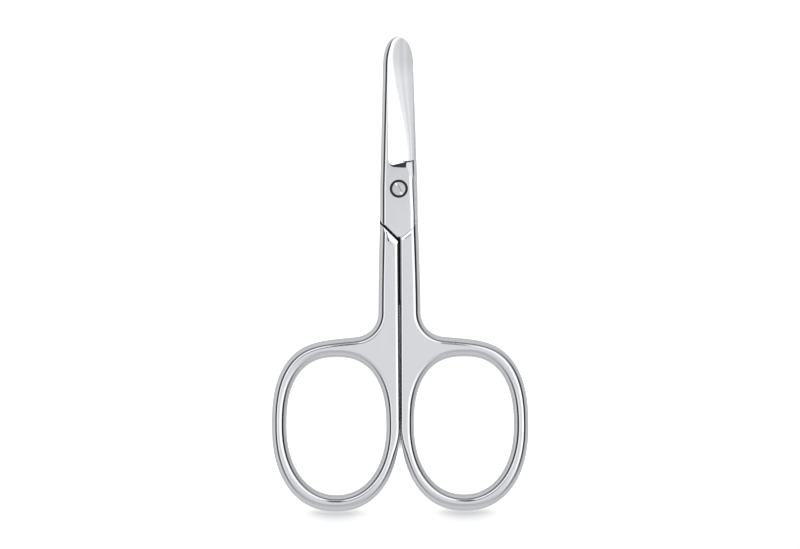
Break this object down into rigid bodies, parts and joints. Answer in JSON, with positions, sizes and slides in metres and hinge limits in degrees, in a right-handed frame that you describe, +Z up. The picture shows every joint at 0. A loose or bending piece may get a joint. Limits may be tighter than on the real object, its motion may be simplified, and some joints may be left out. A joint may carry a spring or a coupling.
{
  "type": "nail scissors",
  "caption": "Small polished-steel nail scissors with straight, round-tipped blades, a slotted pivot screw and large oval finger bows.",
  "frame": {"origin": "centre of the scissors' outline on the surface they lie on, closed", "axes": "+Z up out of the surface they lie on; +Y along the blades to the tip; +X towards the upper half's finger bow"},
  "size_m": [0.0488, 0.09, 0.0028],
  "materials": {
    "half_steel": "mirror-polished stainless steel with soft rounded edges and finely ground blade hollows",
    "screw_steel": "lightly brushed steel screw head, a little duller than the halves"
  },
  "bodies": {
    "lower_half": {"lower_half": "half_steel", "pivot_screw": "screw_steel"},
    "upper_half": {"upper_half": "half_steel"}
  },
  "joints": [
    {"name": "blade_pivot", "type": "hinge", "parent": "lower_half", "child": "upper_half", "pos_m": [0, 0.0162, 0.0014], "axis": [0, 0, 1], "range_deg": [0, 120]}
  ]
}
